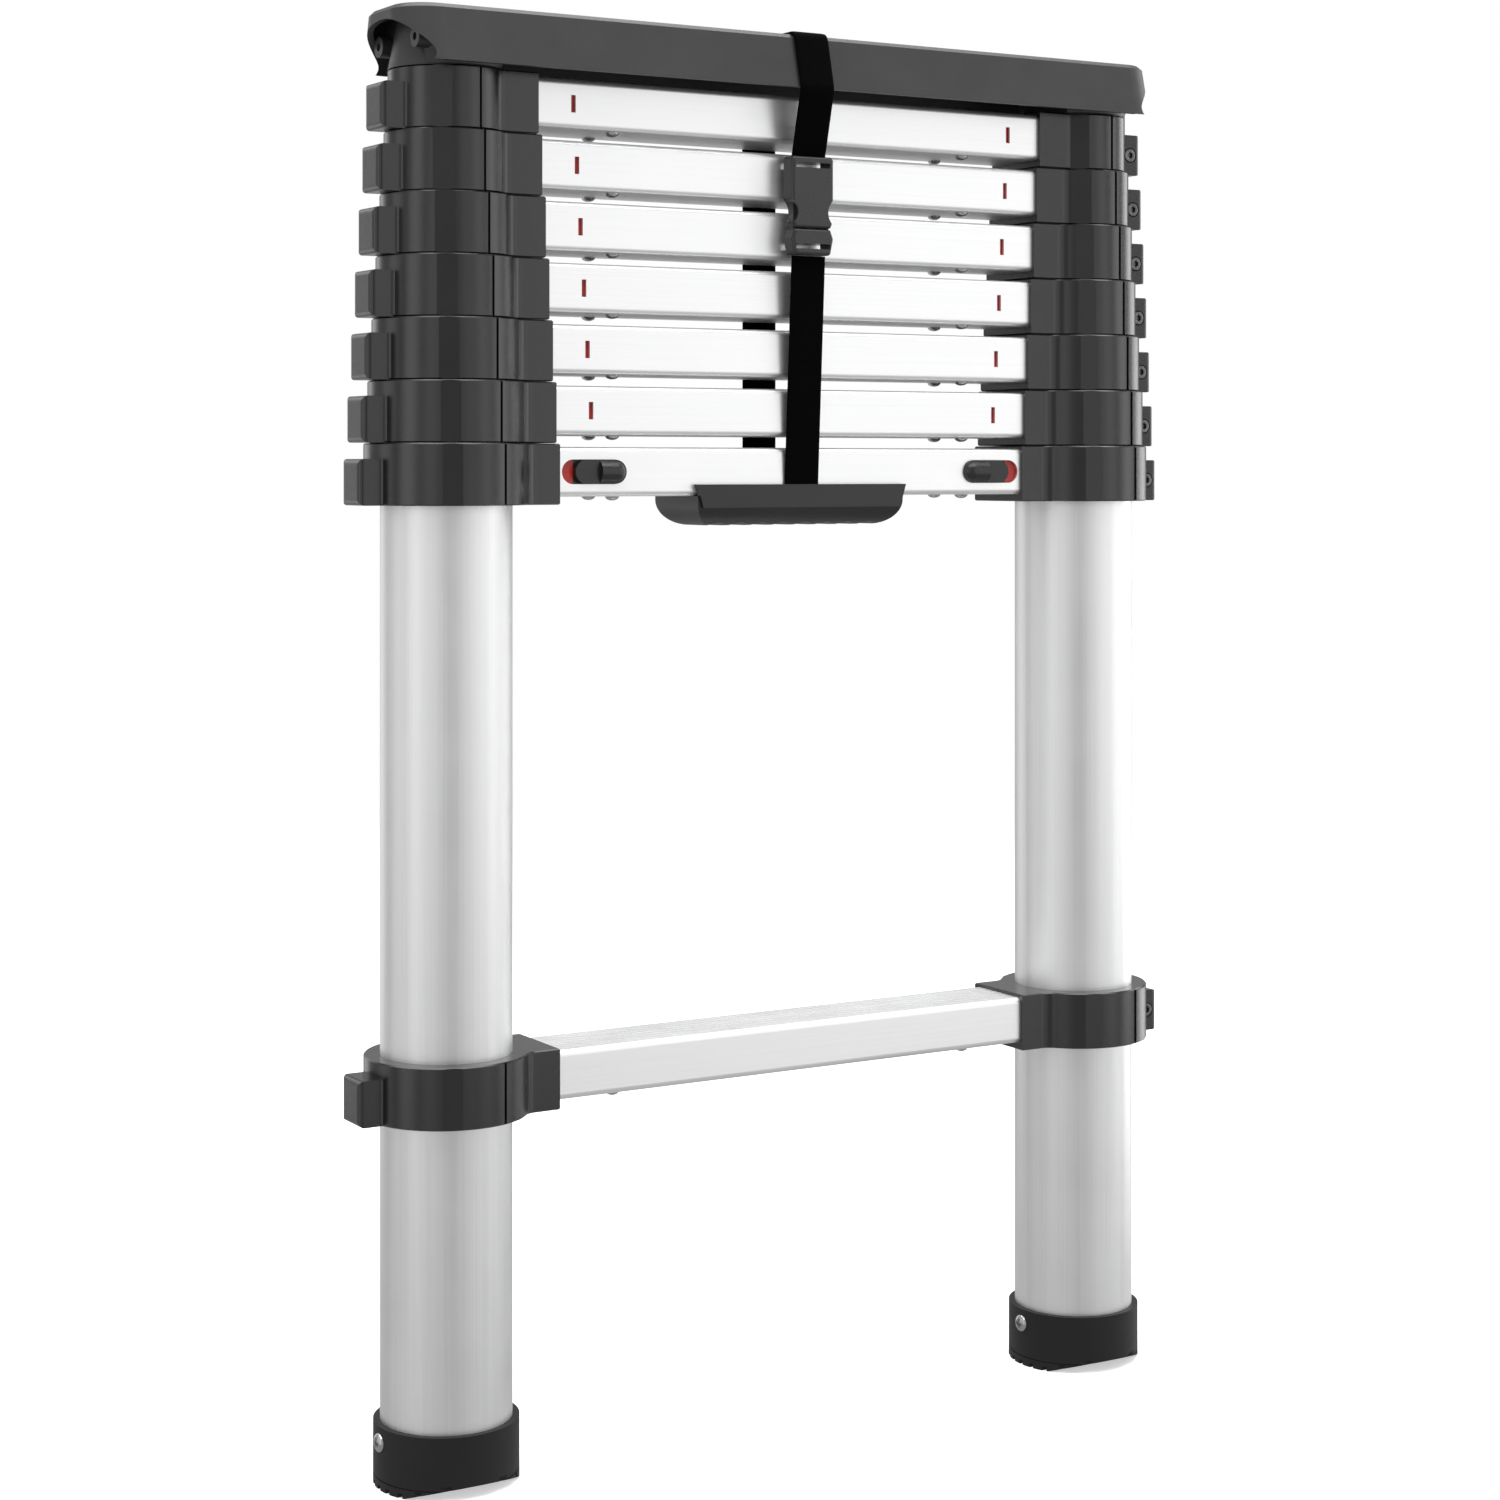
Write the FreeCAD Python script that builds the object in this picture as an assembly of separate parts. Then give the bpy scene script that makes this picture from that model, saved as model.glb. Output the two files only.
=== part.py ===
import FreeCAD, Part
import math
import os

# Telescoping ladder, stowed. Millimetres, +Z up, rungs along X, climbing side towards -Y.
# The origin is on the floor, midway between the two stiles.

# Overall layout
STILE_SPACING = 381.0     # between the axes of the two columns of tubes
RUNG_SPACING = 296.6      # between two rungs of the extended ladder
STACK_PITCH = 30.2        # between two rungs of the stowed stack
BOTTOM_COLLAR_Z = 177.4   # underside of the lowest collar
SECTIONS = 8              # telescoping sections, counted from the outermost tube

# Stile tubes
TUBE_RADIUS = 32.25       # outside radius of the lowest, widest tube
TUBE_WALL = 1.4
TUBE_GAP = 0.55           # radial gap between two nested tubes
TUBE_TOP_RECESS = 2.6     # tube end below the top of its collar

# Rungs
RUNG_DEPTH = 40.6
RUNG_HEIGHT = 24.5
RUNG_WALL = 1.6
RUNG_ROUND = 3.0
RUNG_LIFT = 3.9           # underside of a rung above the underside of its collar
RUNG_SEAT = 14.0          # length of a rung end inside its collar
TREAD_GROOVES = 7
TREAD_GROOVE_WIDTH = 1.2
TREAD_GROOVE_DEPTH = 0.4
TREAD_GROOVE_PITCH = 4.6

# Collars
COLLAR_GAP = 0.2          # between two stacked collars
COLLAR_HEIGHT = STACK_PITCH - COLLAR_GAP
COLLAR_WALL = 8.0
COLLAR_LIP_GAP = 0.35     # lip around the next tube in
SOCKET_REACH = 18.6       # rung socket beyond the tube
SOCKET_HALF_DEPTH = RUNG_DEPTH / 2 + 1.9
SOCKET_BLEND = 9.0
LUG_REACH = 18.1          # clamp lug beyond the tube
LUG_HALF_DEPTH = 10.6
LUG_HEIGHT = 22.4
LUG_ROUND = 2.8
LUG_SCREW_Z = 11.2
LUG_SCREW_INSET = 7.0     # screw axis from the outer end of the lug
LUG_SCREW_SINK_RADIUS = 4.2
LUG_SCREW_SINK_DEPTH = 2.4
LUG_SCREW_HOLE_RADIUS = 2.1
LUG_SCREW_FLOOR = 3.0     # lug left solid past the end of the screw
FACET_START = -18.4       # shallow flat on the front of the ring, along X from the tube's axis
FACET_END = -9.3
BAND_WIDTH = 10.8         # raised band beside the rung socket, along X
BAND_SHARE = 0.72         # of the ring's radius, to the near side of the band
BAND_SETBACK = 15.6       # taken off that share
BAND_STAND = 0.8
BAND_GROOVE_WIDTH = 0.7    # dark line up each edge of the band
BAND_GROOVE_DEPTH = 0.7
LUG_BLEND = 2.0
LUG_OVERLAP = 3.0         # lug sunk into the ring
EDGE_BREAK = 0.6

# Locks
PIN_RADIUS = 4.0
PIN_HOLE_GAP = 0.5
LOCK_TRAVEL = 7.0
PIN_TIP_GAP = 0.6         # pin tip from the inner tube when the lock is out
WINDOW_WIDTH = 2.5
WINDOW_HEIGHT = 8.6
WINDOW_INSET = 20.0       # centre of the window from the end of the socket
CARRIER_GAP = 0.3
CARRIER_DEPTH = 20.0
CARRIER_HALF_HEIGHT = 8.5
CARRIER_BEFORE = 7.0      # carrier on the stile side of the window's centre
CARRIER_BEHIND = 12.0
SLOT_INSET = 1.9          # thumb slot from the end of the socket
SLOT_LENGTH = 35.6
SLOT_HEIGHT = 12.2
SLOT_GAP = 0.2
THUMB_LENGTH = 28.4
THUMB_FLAT_LENGTH = 13.5
THUMB_FLAT_STAND = 1.4
THUMB_RIDGE_STAND = 4.6
THUMB_COVER = 2.0         # carrier past the outer end of the slot

# Glide bushes on the lower ends of the inner tubes
BUSH_GAP = 0.15
BUSH_FLANGE = 4.0
BUSH_INSERT = 12.0
BUSH_WALL = 2.0

# Feet
FOOT_WALL = 3.3
FOOT_HEIGHT = 30.4
FOOT_FLOOR = 8.0
ROCKER_START = -18.0      # the sole is flat behind this Y and rises ahead of it
ROCKER_SLOPE = 0.35
SOLE_GROOVE_PITCH = 8.0
SOLE_GROOVE_WIDTH = 2.6
SOLE_GROOVE_DEPTH = 2.2
FOOT_LIP_Z = 4.6
FOOT_LIP_DEPTH = 0.5
FOOT_SCREW_Z = 22.6
FOOT_SCREW_RADIUS = 2.2

# Top cap
CAP_HALF_LENGTH = 225.0
CAP_HALF_DEPTH = 36.0     # at its lower edge
CAP_TOP_HALF_DEPTH = 29.0
CAP_SKIRT_GAP = 0.6       # skirt above the seat of the cap on the top collar
CAP_TOP_RISE = 28.6       # top of the cap above its seat
CAP_WALL = 3.0
CAP_BEVEL = 2.2
CAP_CORNER = 18.0
CAP_BOSS_WALL = 3.2
CAP_BOSS_TOP_INSET = 5.0  # the boss on the top collar narrows upwards by this much
CAP_ARCH_HALF_WIDTH = 35.0
CAP_ARCH_HEIGHT = 22.0
CAP_FLARE = 7.4           # the front and back of a boss widen upwards by this much, into the walls
CAP_FLARE_REACH = 20.0    # half width of the flared part, along X
CAP_POST_RADIUS = 5.2     # screw posts along X, between a boss and the end of the cap
CAP_POST_HOLE_RADIUS = 2.0
CAP_POST_LENGTH = 14.0
CAP_POST_INSET = 8.0      # from the end of the cap
CAP_POST_OFFSET = 21.5    # from the centre line
CAP_POST_Z = 12.0         # above the skirt

# Carry handle under the second rung
HANDLE_LENGTH = 124.0
HANDLE_DROP = 15.2
HANDLE_HALF_DEPTH = RUNG_DEPTH / 2 + 2.0
HANDLE_CORNER = 13.0
HANDLE_FLANGE_LENGTH = 126.0
HANDLE_FLANGE_TOP = 5.8   # above the underside of the rung
HANDLE_FLANGE_BOTTOM = -6.0
HANDLE_FLANGE_THICKNESS = 3.6
HANDLE_FLANGE_TAPER = 3.5
FINGER_GROOVES = 8
FINGER_GROOVE_PITCH = 13.0
FINGER_GROOVE_RADIUS = 10.0
FINGER_GROOVE_DEPTH = 1.4
CONTACT_GAP = 0.05

# Strap
WEBBING_WIDTH = 20.0
WEBBING_THICKNESS = 1.5
WEBBING_SLACK = 0.25      # webbing from the hard parts it passes
STRAP_CLEAR = 2.0         # webbing leaves the rung this far above the handle's flange
CHANNEL_SIDE_GAP = 1.5

# Side-release buckle
BUCKLE_DROP = 34.5         # top of the buckle below the edge of the cap
BUCKLE_LENGTH = 50.5
BUCKLE_FLARE_RISE = 8.5    # widest point of the lower half above its end
BUCKLE_SPLIT_RISE = 13.5   # between the halves, above the lower end
BUCKLE_SHOULDER = 4.0      # height over which the upper half widens above the split
BUCKLE_HALF_WIDTH = 12.6
BUCKLE_NARROW = 10.8       # half width at the lower end and at the split
BUCKLE_BACK_Y = -(RUNG_DEPTH / 2 + 2.7)
BUCKLE_THICKNESS = 10.0
BUCKLE_ROUND = 1.8
BUCKLE_BAR = 3.2
BUCKLE_SLOT_HEIGHT = 2.6
BUCKLE_SCOOP_RADIUS = 8.0  # hollows in the sides, over the prongs
BUCKLE_SCOOP_DEPTH = 3.6
PRONG_WIDTH = 4.4
PRONG_THICKNESS = 4.6
PRONG_GAP = 0.25
PRONG_LENGTH = 17.0
PRONG_REACH = 10.6         # outer face of a prong from the middle

TUBE_STEP = TUBE_WALL + TUBE_GAP
STACK_COLLAR_Z = BOTTOM_COLLAR_Z + RUNG_SPACING
PIN_LIFT = RUNG_LIFT + RUNG_HEIGHT / 2
SLIDE_TRAVEL = RUNG_SPACING - STACK_PITCH
CAP_SEAT_Z = STACK_COLLAR_Z + (SECTIONS - 1) * STACK_PITCH
CAP_TOP_Z = CAP_SEAT_Z + CAP_TOP_RISE
CAP_SKIRT_Z = CAP_SEAT_Z + CAP_SKIRT_GAP
BUCKLE_TOP_Z = CAP_SKIRT_Z - BUCKLE_DROP
BUCKLE_BOTTOM_Z = BUCKLE_TOP_Z - BUCKLE_LENGTH
BUCKLE_FLARE_Z = BUCKLE_BOTTOM_Z + BUCKLE_FLARE_RISE
BUCKLE_SPLIT_Z = BUCKLE_BOTTOM_Z + BUCKLE_SPLIT_RISE
SIDES = {"left": -1, "right": 1}

V = FreeCAD.Vector
X = V(1, 0, 0)
Y = V(0, 1, 0)
Z = V(0, 0, 1)


def tube_radius(section):
    """Outside radius of a section's stile tubes."""
    return TUBE_RADIUS - TUBE_STEP * (section - 1)


def collar_z(level):
    """Underside of the collars that hold a rung: one low down, the others stacked at the top."""
    if level == 1:
        return BOTTOM_COLLAR_Z
    return STACK_COLLAR_Z + STACK_PITCH * (level - 2)


def collar_radius(level):
    """Outside radius of the tube that a level's collars grip."""
    return tube_radius(max(level - 1, 1))


def rung_bottom(level):
    return collar_z(level) + RUNG_LIFT


def pin_z(level):
    return collar_z(level) + PIN_LIFT


def socket_end(level):
    """Distance of a rung socket's mouth from the ladder's centre plane."""
    return STILE_SPACING / 2 - collar_radius(level) - SOCKET_REACH


def box(x0, x1, y0, y1, z0, z1):
    low = V(min(x0, x1), min(y0, y1), min(z0, z1))
    return Part.makeBox(abs(x1 - x0), abs(y1 - y0), abs(z1 - z0), low)


def ring(outer, inner, z0, z1):
    blank = Part.makeCylinder(outer, z1 - z0, V(0, 0, z0))
    return blank.cut(Part.makeCylinder(inner, z1 - z0 + 2, V(0, 0, z0 - 1)))


def prism(points, direction):
    """A straight prism on a closed outline of corner points."""
    face = Part.Face(Part.makePolygon([V(*p) for p in points + points[:1]]))
    return face.extrude(direction)


def edges_where(shape, test):
    """The straight edges of a shape whose two ends both pass a test."""
    chosen = []
    for edge in shape.Edges:
        ends = [v.Point for v in edge.Vertexes]
        if len(ends) == 2 and isinstance(edge.Curve, Part.Line) and all(test(p) for p in ends):
            if ends[0].distanceToPoint(ends[1]) > 1:
                chosen.append(edge)
    return chosen


def along_x(p, q):
    return abs(p.y - q.y) < 1e-6 and abs(p.z - q.z) < 1e-6


def placed(shape, side):
    """Puts a piece modelled around its tube's axis, rung towards +X, on one stile."""
    copy = shape.copy()
    if SIDES[side] > 0:
        copy.rotate(V(0, 0, 0), Z, 180)
    copy.translate(V(SIDES[side] * STILE_SPACING / 2, 0, 0))
    return copy


def mirrored(shape, side):
    """Puts a piece modelled on the left stile on either side."""
    return shape.copy() if SIDES[side] < 0 else shape.mirror(V(0, 0, 0), X)


def stile_tube(section):
    """One tube around its own axis, with the lock hole near its foot and the pin hole at its head."""
    radius = tube_radius(section)
    bottom = FOOT_FLOOR + STACK_PITCH * (section - 1)
    if section < SECTIONS:
        top = collar_z(section + 1) + COLLAR_HEIGHT - TUBE_TOP_RECESS
    else:
        top = CAP_TOP_Z - CAP_WALL - CONTACT_GAP
    tube = ring(radius, radius - TUBE_WALL, bottom, top)
    hole_radius = PIN_RADIUS + PIN_HOLE_GAP
    if section < SECTIONS:
        hole = Part.makeCylinder(hole_radius, radius + 1, V(0, 0, pin_z(section + 1)), X)
        tube = tube.cut(hole)
    if section > 1:
        hole = Part.makeCylinder(hole_radius, radius + 1, V(0, 0, pin_z(section) - SLIDE_TRAVEL), X)
        tube = tube.cut(hole)
    return tube


def glide_bush(section):
    """Flanged plug in the lower end of an inner tube, which guides it in the tube outside it."""
    radius = tube_radius(section)
    bottom = FOOT_FLOOR + STACK_PITCH * (section - 1)
    insert_radius = radius - TUBE_WALL
    flange_radius = radius + TUBE_GAP - BUSH_GAP
    flange = ring(flange_radius, insert_radius - BUSH_WALL, bottom - BUSH_FLANGE, bottom)
    insert = ring(insert_radius, insert_radius - BUSH_WALL, bottom, bottom + BUSH_INSERT)
    return flange.fuse(insert).removeSplitter()


def collar(level):
    """Moulded collar around its tube's axis: ring, rung socket towards +X, clamp lug towards -X."""
    radius = collar_radius(level)
    outer = radius + COLLAR_WALL
    reach = radius + SOCKET_REACH
    bottom = collar_z(level)
    top = bottom + COLLAR_HEIGHT

    body = Part.makeCylinder(outer, COLLAR_HEIGHT, V(0, 0, bottom))
    socket = box(0, reach, -SOCKET_HALF_DEPTH, SOCKET_HALF_DEPTH, bottom, top)
    body = body.fuse(socket).removeSplitter()
    upright = [e for e in edges_where(body, lambda p: abs(abs(p.y) - SOCKET_HALF_DEPTH) < 0.01)
               if e.Vertexes[0].Point.x < reach - 1 and e.Length > COLLAR_HEIGHT - 1]
    body = body.makeFillet(SOCKET_BLEND, upright)
    body = body.makeChamfer(EDGE_BREAK, [e for e in body.Edges if edge_is_at(e, bottom) or edge_is_at(e, top)])
    for turn in (0, 180):
        body = body.cut(facet(outer, bottom, turn))
        body = body.fuse(band(outer, bottom, turn)).cut(band_grooves(outer, bottom, turn))
    body = body.fuse(lug(radius, outer, bottom)).removeSplitter()
    root = [e for e in edges_where(body, lambda p: abs(abs(p.y) - LUG_HALF_DEPTH) < 0.01 and -outer < p.x < 0)
            if LUG_HEIGHT - 2 < e.Length < LUG_HEIGHT + 2]
    body = body.makeFillet(LUG_BLEND, root)

    body = body.cut(Part.makeCylinder(radius, COLLAR_HEIGHT - TUBE_TOP_RECESS, V(0, 0, bottom)))
    lip_radius = radius if level == 1 else radius - TUBE_STEP + COLLAR_LIP_GAP
    body = body.cut(Part.makeCylinder(lip_radius, COLLAR_HEIGHT + 2, V(0, 0, bottom - 1)))
    seat = rung_blank(reach - RUNG_SEAT, reach + 1, bottom + RUNG_LIFT, CONTACT_GAP)
    body = body.cut(seat)
    if level > 1:
        passage = PIN_RADIUS + PIN_HOLE_GAP
        body = body.cut(Part.makeCylinder(passage, reach, V(0, 0, pin_z(level)), X))
    return body.cut(lug_screw_hole(radius, bottom))


def ring_angle(x, outer):
    """Angle from straight ahead to a point of the ring at an X offset, in degrees."""
    return math.degrees(math.asin(x / outer))


def facet(outer, bottom, turn):
    """The sliver outside a shallow flat on the collar's ring."""
    start = ring_angle(FACET_START, outer)
    end = ring_angle(FACET_END, outer)
    half_angle = math.radians((end - start) / 2)
    distance = outer * math.cos(half_angle)
    half = outer * math.sin(half_angle)
    block = box(-half, half, -outer - 1, -distance, bottom - 1, bottom + COLLAR_HEIGHT + 1)
    block.rotate(V(0, 0, 0), Z, turn + (start + end) / 2)
    return block


def band(outer, bottom, turn):
    """A raised band up the collar's ring, beside the rung socket at the front."""
    near = BAND_SHARE * outer - BAND_SETBACK
    start = ring_angle(near, outer)
    end = ring_angle(near + BAND_WIDTH, outer)
    strip = ring(outer + BAND_STAND, outer - 2, bottom + EDGE_BREAK, bottom + COLLAR_HEIGHT - EDGE_BREAK)
    reach = outer + 5
    corners = [(0, 0, bottom)]
    for angle in (start, (start + end) / 2, end):
        turned = math.radians(angle)
        corners.append((reach * math.sin(turned), -reach * math.cos(turned), bottom))
    strip = strip.common(prism(corners, V(0, 0, COLLAR_HEIGHT)))
    strip.rotate(V(0, 0, 0), Z, turn)
    return strip


def band_grooves(outer, bottom, turn):
    """Two narrow upright grooves, one at each edge of the raised band."""
    near = BAND_SHARE * outer - BAND_SETBACK
    half = BAND_GROOVE_WIDTH / 2
    grooves = []
    for x in (near, near + BAND_WIDTH):
        groove = box(-half, half, -outer - 2, BAND_GROOVE_DEPTH - outer, bottom - 1, bottom + COLLAR_HEIGHT + 1)
        groove.rotate(V(0, 0, 0), Z, turn + ring_angle(x, outer))
        grooves.append(groove)
    return grooves


def lug(radius, outer, bottom):
    """Clamp lug with rounded edges, flush with the underside of the collar."""
    end = -(radius + LUG_REACH)
    block = box(end, -outer + LUG_OVERLAP, -LUG_HALF_DEPTH, LUG_HALF_DEPTH, bottom, bottom + LUG_HEIGHT)
    block = block.makeFillet(LUG_ROUND, edges_where(block, lambda p: abs(p.x - end) < 0.01))
    root = Part.makeCylinder(outer - 1, LUG_HEIGHT, V(0, 0, bottom))
    root = root.common(box(-outer, 0, -LUG_HALF_DEPTH, LUG_HALF_DEPTH, bottom, bottom + LUG_HEIGHT))
    return block.fuse(root).removeSplitter()


def lug_screw_hole(radius, bottom):
    """Counterbored blind hole in the lug for the clamp screw, whose head is on its +Y face."""
    x = -(radius + LUG_REACH - LUG_SCREW_INSET)
    z = bottom + LUG_SCREW_Z
    hole = Part.makeCylinder(LUG_SCREW_HOLE_RADIUS, 2 * LUG_HALF_DEPTH, V(x, LUG_SCREW_FLOOR - LUG_HALF_DEPTH, z), Y)
    sink_y = LUG_HALF_DEPTH - LUG_SCREW_SINK_DEPTH
    sink = Part.makeCylinder(LUG_SCREW_SINK_RADIUS, LUG_SCREW_SINK_DEPTH + 1, V(x, sink_y, z), Y)
    return hole.fuse(sink)


def rung_blank(x0, x1, bottom, grow=0.0):
    """Solid bar with the outer section of a rung, between two X positions."""
    half = RUNG_DEPTH / 2 + grow
    bar = box(x0, x1, -half, half, bottom - grow, bottom + RUNG_HEIGHT + grow)
    long_edges = [e for e in bar.Edges if along_x(e.Vertexes[0].Point, e.Vertexes[1].Point)]
    return bar.makeFillet(RUNG_ROUND + grow, long_edges)


def rung(level):
    """Hollow extruded rung with a grooved tread, and its lock windows or thumb slots."""
    end = socket_end(level) + RUNG_SEAT
    bottom = rung_bottom(level)
    top = bottom + RUNG_HEIGHT
    bar = rung_blank(-end, end, bottom)
    inner_half = RUNG_DEPTH / 2 - RUNG_WALL
    bar = bar.cut(box(-end - 1, end + 1, -inner_half, inner_half, bottom + RUNG_WALL, top - RUNG_WALL))
    for number in range(TREAD_GROOVES):
        y = (number - (TREAD_GROOVES - 1) / 2) * TREAD_GROOVE_PITCH
        half = TREAD_GROOVE_WIDTH / 2
        bar = bar.cut(box(-end - 1, end + 1, y - half, y + half, top - TREAD_GROOVE_DEPTH, top + 1))
    for side in SIDES.values():
        if level == 2:
            bar = bar.cut(thumb_slot(side))
        elif level > 2:
            bar = bar.cut(lock_window(level, side))
    return bar


def lock_window(level, side):
    """Narrow upright window in the front of a rung, over the lock's indicator."""
    centre = side * (socket_end(level) - WINDOW_INSET)
    half = WINDOW_WIDTH / 2
    z = pin_z(level)
    front = -RUNG_DEPTH / 2
    return box(centre - half, centre + half, front - 1, front + RUNG_WALL + 1,
               z - WINDOW_HEIGHT / 2, z + WINDOW_HEIGHT / 2)


def stadium(x0, x1, height, z, y0, y1):
    """A bar along Y with a round-ended section that is long in X."""
    radius = height / 2
    middle = box(x0 + radius, x1 - radius, y0, y1, z - radius, z + radius)
    ends = [Part.makeCylinder(radius, y1 - y0, V(x, y0, z), Y) for x in (x0 + radius, x1 - radius)]
    return middle.fuse(ends).removeSplitter()


def thumb_slot(side):
    """Round-ended slot in the front of the second rung, for a thumb button."""
    outer = socket_end(2) - SLOT_INSET
    ends = sorted((side * outer, side * (outer - SLOT_LENGTH)))
    front = -RUNG_DEPTH / 2
    return stadium(ends[0], ends[1], SLOT_HEIGHT, pin_z(2), front - 1, front + RUNG_WALL + 1)


def lock_body(level, carrier_ends):
    """Pin and carrier of a left-hand lock, drawn back by its travel from the inner tube."""
    z = pin_z(level)
    axis_x = -STILE_SPACING / 2
    tip = axis_x + collar_radius(level) - TUBE_STEP + PIN_TIP_GAP + LOCK_TRAVEL
    front = -RUNG_DEPTH / 2 + RUNG_WALL + CARRIER_GAP
    carrier = box(carrier_ends[0], carrier_ends[1], front, front + CARRIER_DEPTH,
                  z - CARRIER_HALF_HEIGHT, z + CARRIER_HALF_HEIGHT)
    pin = Part.makeCylinder(PIN_RADIUS, carrier_ends[0] - tip, V(tip, 0, z), X)
    return carrier.fuse(pin).removeSplitter()


def lock_pin(level):
    """Spring lock in a rung end, with the indicator face behind the rung's window."""
    window = -(socket_end(level) - WINDOW_INSET)
    return lock_body(level, (window - CARRIER_BEFORE, window + CARRIER_BEHIND))


def thumb_button():
    """Thumb button of the second rung: pin, carrier, flat and half-round ridge in the slot."""
    slot_end = -(socket_end(2) - SLOT_INSET - SLOT_LENGTH)
    inner = slot_end - SLOT_GAP
    outer = inner - THUMB_LENGTH
    middle = outer + THUMB_FLAT_LENGTH
    z = pin_z(2)
    front = -RUNG_DEPTH / 2
    back = front + RUNG_WALL + CARRIER_GAP
    slot_outer = slot_end - SLOT_LENGTH
    radius = SLOT_HEIGHT / 2 - SLOT_GAP
    body = lock_body(2, (slot_outer - THUMB_COVER, inner))
    flat = stadium(outer, inner, 2 * radius, z, front - THUMB_FLAT_STAND, back + 1)
    axis_y = front - THUMB_RIDGE_STAND + radius
    ridge = Part.makeCylinder(radius, inner - radius - middle, V(middle, axis_y, z), X)
    ridge = ridge.fuse(Part.makeSphere(radius, V(inner - radius, axis_y, z)))
    ridge = ridge.common(box(middle, inner, front - THUMB_RIDGE_STAND - 1, front, z - radius, z + radius))
    return body.fuse([flat, ridge]).removeSplitter()


def foot():
    """Rubber foot around its tube's axis: a deep cup with a rocker sole."""
    radius = TUBE_RADIUS + FOOT_WALL
    cup = Part.makeCylinder(radius, FOOT_HEIGHT)
    cup = cup.cut(Part.makeCylinder(TUBE_RADIUS, FOOT_HEIGHT, V(0, 0, FOOT_FLOOR)))
    cup = cup.cut(ring(radius + 1, radius - FOOT_LIP_DEPTH, FOOT_LIP_Z, FOOT_LIP_Z + EDGE_BREAK))
    reach = radius + 1
    rise = ROCKER_SLOPE * (ROCKER_START + reach)
    wedge = prism([(-reach, ROCKER_START, 0), (-reach, -reach, rise), (-reach, -reach, -1),
                   (-reach, ROCKER_START, -1)], V(2 * reach, 0, 0))
    cup = cup.cut(wedge)
    grooves = int(radius // SOLE_GROOVE_PITCH)
    half = SOLE_GROOVE_WIDTH / 2
    for number in range(-grooves, grooves + 1):
        y = number * SOLE_GROOVE_PITCH
        floor = max(0.0, ROCKER_SLOPE * (ROCKER_START - y))
        cup = cup.cut(box(-reach, reach, y - half, y + half, -1, floor + SOLE_GROOVE_DEPTH))
    return cup


def foot_screw_hole(x_side):
    return Part.makeCylinder(FOOT_SCREW_RADIUS, FOOT_WALL + 2,
                             V(x_side * (TUBE_RADIUS - 1), 0, FOOT_SCREW_Z), X * x_side)


def cap_section(shrink, z0, z1):
    """Trapezoid section of the cap with rounded ends, drawn in by a wall thickness, between two heights."""
    slope = (CAP_HALF_DEPTH - CAP_TOP_HALF_DEPTH) / (CAP_TOP_Z - CAP_SKIRT_Z)
    half_low = CAP_HALF_DEPTH - shrink - slope * (z0 - CAP_SKIRT_Z)
    half_high = CAP_HALF_DEPTH - shrink - slope * (z1 - CAP_SKIRT_Z)
    length = CAP_HALF_LENGTH - shrink
    block = prism([(-length, -half_low, z0), (-length, half_low, z0), (-length, half_high, z1),
                   (-length, -half_high, z1)], V(2 * length, 0, 0))
    ends = edges_where(block, lambda p: abs(abs(p.x) - length) < 0.01)
    upright = [e for e in ends if abs(e.tangentAt(e.FirstParameter).z) > 0.5]
    return block.makeFillet(CAP_CORNER - shrink, upright)


def top_cap():
    """Moulded top step: an upturned trough with rounded ends, arched at both ends."""
    outline = cap_section(0, CAP_SKIRT_Z, CAP_TOP_Z)
    outline = outline.makeChamfer(CAP_BEVEL, [e for e in outline.Edges if edge_is_at(e, CAP_TOP_Z)])
    ceiling = CAP_TOP_Z - CAP_WALL
    shell = outline.cut(cap_section(CAP_WALL, CAP_SKIRT_Z - 1, ceiling)).cut(cap_arch())
    radius = tube_radius(SECTIONS)
    boss_radius = collar_radius(SECTIONS) + COLLAR_WALL
    height = ceiling - CAP_SEAT_Z
    posts = []
    holes = []
    for side in SIDES.values():
        seat = V(side * STILE_SPACING / 2, 0, CAP_SEAT_Z)
        boss = Part.makeCone(boss_radius, boss_radius - CAP_BOSS_TOP_INSET, height, seat)
        hollow = Part.makeCone(boss_radius - CAP_WALL, boss_radius - CAP_BOSS_TOP_INSET - CAP_WALL, height, seat)
        sleeve = Part.makeCylinder(radius + CAP_BOSS_WALL, height, seat)
        flare = Part.makeCone(boss_radius, boss_radius + CAP_FLARE, height, seat).common(outline)
        flare = flare.common(box(seat.x - CAP_FLARE_REACH, seat.x + CAP_FLARE_REACH,
                                 -CAP_HALF_DEPTH, CAP_HALF_DEPTH, CAP_SEAT_Z, ceiling))
        shell = shell.fuse([boss.fuse(flare).cut(hollow), sleeve])
        holes.append(Part.makeCylinder(radius, height, seat))
        end = side * (CAP_HALF_LENGTH - CAP_POST_INSET)
        for y in (-CAP_POST_OFFSET, CAP_POST_OFFSET):
            start = V(end, y, CAP_SKIRT_Z + CAP_POST_Z)
            posts.append(Part.makeCylinder(CAP_POST_RADIUS, CAP_POST_LENGTH, start, X * -side))
            holes.append(Part.makeCylinder(CAP_POST_HOLE_RADIUS, CAP_POST_LENGTH, start, X * -side))
    return shell.fuse(posts).cut(holes).removeSplitter()


def edge_is_at(edge, z):
    return all(abs(v.Point.z - z) < 0.01 for v in edge.Vertexes)


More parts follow.
